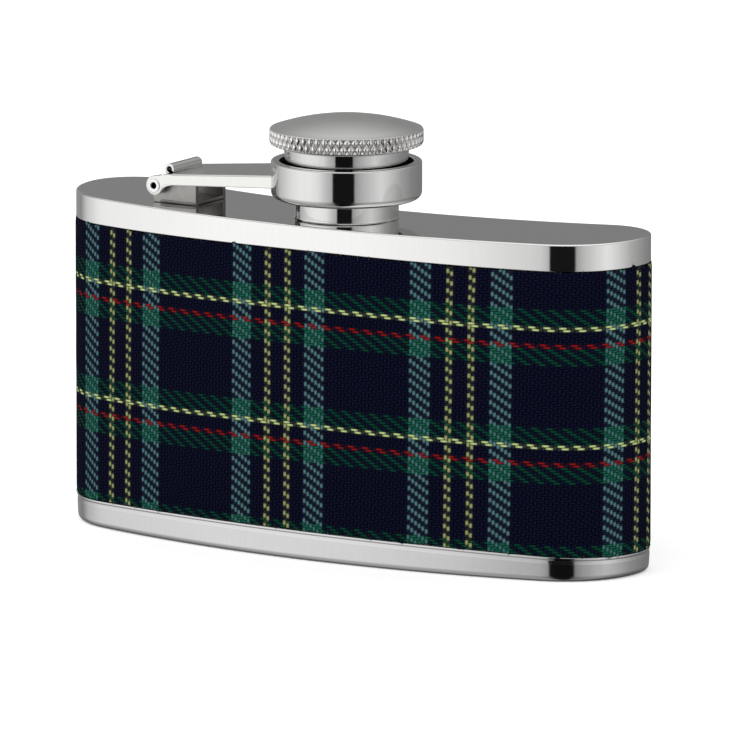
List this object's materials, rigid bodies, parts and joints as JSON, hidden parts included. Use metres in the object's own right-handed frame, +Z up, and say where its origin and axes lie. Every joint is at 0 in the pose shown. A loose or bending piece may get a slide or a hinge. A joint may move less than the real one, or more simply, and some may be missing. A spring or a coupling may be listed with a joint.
{
  "type": "hip flask",
  "caption": "Small curved pocket flask of polished steel in a tartan wrap, with a captive knurled screw cap on a hinged swing arm.",
  "frame": {"origin": "on the base plane under the middle of the body", "axes": "+X along the flask's width, towards the end away from the hinge; -Y out of the convex front; +Z up out of the base"},
  "size_m": [0.0946, 0.0259, 0.0642],
  "materials": {
    "polished_steel": "mirror polished stainless steel",
    "satin_steel": "satin dome over a cross-knurled edge",
    "shell_steel": "plain rolled stainless steel",
    "spring_steel": "plain spring steel",
    "seal_silicone": "smooth translucent white silicone",
    "tartan_fabric": "twill tartan in navy, green, yellow, red and blue"
  },
  "bodies": {
    "flask": {"body_shell": "shell_steel", "top_pan": "polished_steel", "bottom_pan": "polished_steel", "neck": "polished_steel", "hinge_bracket": "polished_steel", "hinge_pin": "polished_steel", "fabric_wrap": "tartan_fabric"},
    "arm": {"swing_arm": "polished_steel", "retaining_ring": "polished_steel"},
    "clip": {"cap_clip": "spring_steel"},
    "cap": {"cap_shell": "satin_steel", "cap_core": "polished_steel", "cap_seal": "seal_silicone"}
  },
  "joints": [
    {"name": "lid_swing", "type": "hinge", "parent": "flask", "child": "arm", "pos_m": [-0.02813, 0.00105, 0.05202], "axis": [0, -1, 0], "range_deg": [0, 155]},
    {"name": "cap_lift", "type": "slide", "parent": "arm", "child": "clip", "axis": [0, 0, 1], "range_m": [0, 0.00205]},
    {"name": "cap_turn", "type": "hinge", "parent": "clip", "child": "cap", "pos_m": [0.0014, 0.00105, 0.0584], "axis": [0, 0, 1], "range_deg": [0, 480]}
  ],
  "couplings": [
    {"joint": "cap_lift", "follows": "cap_turn", "m_per_rad": 0.00023873}
  ]
}
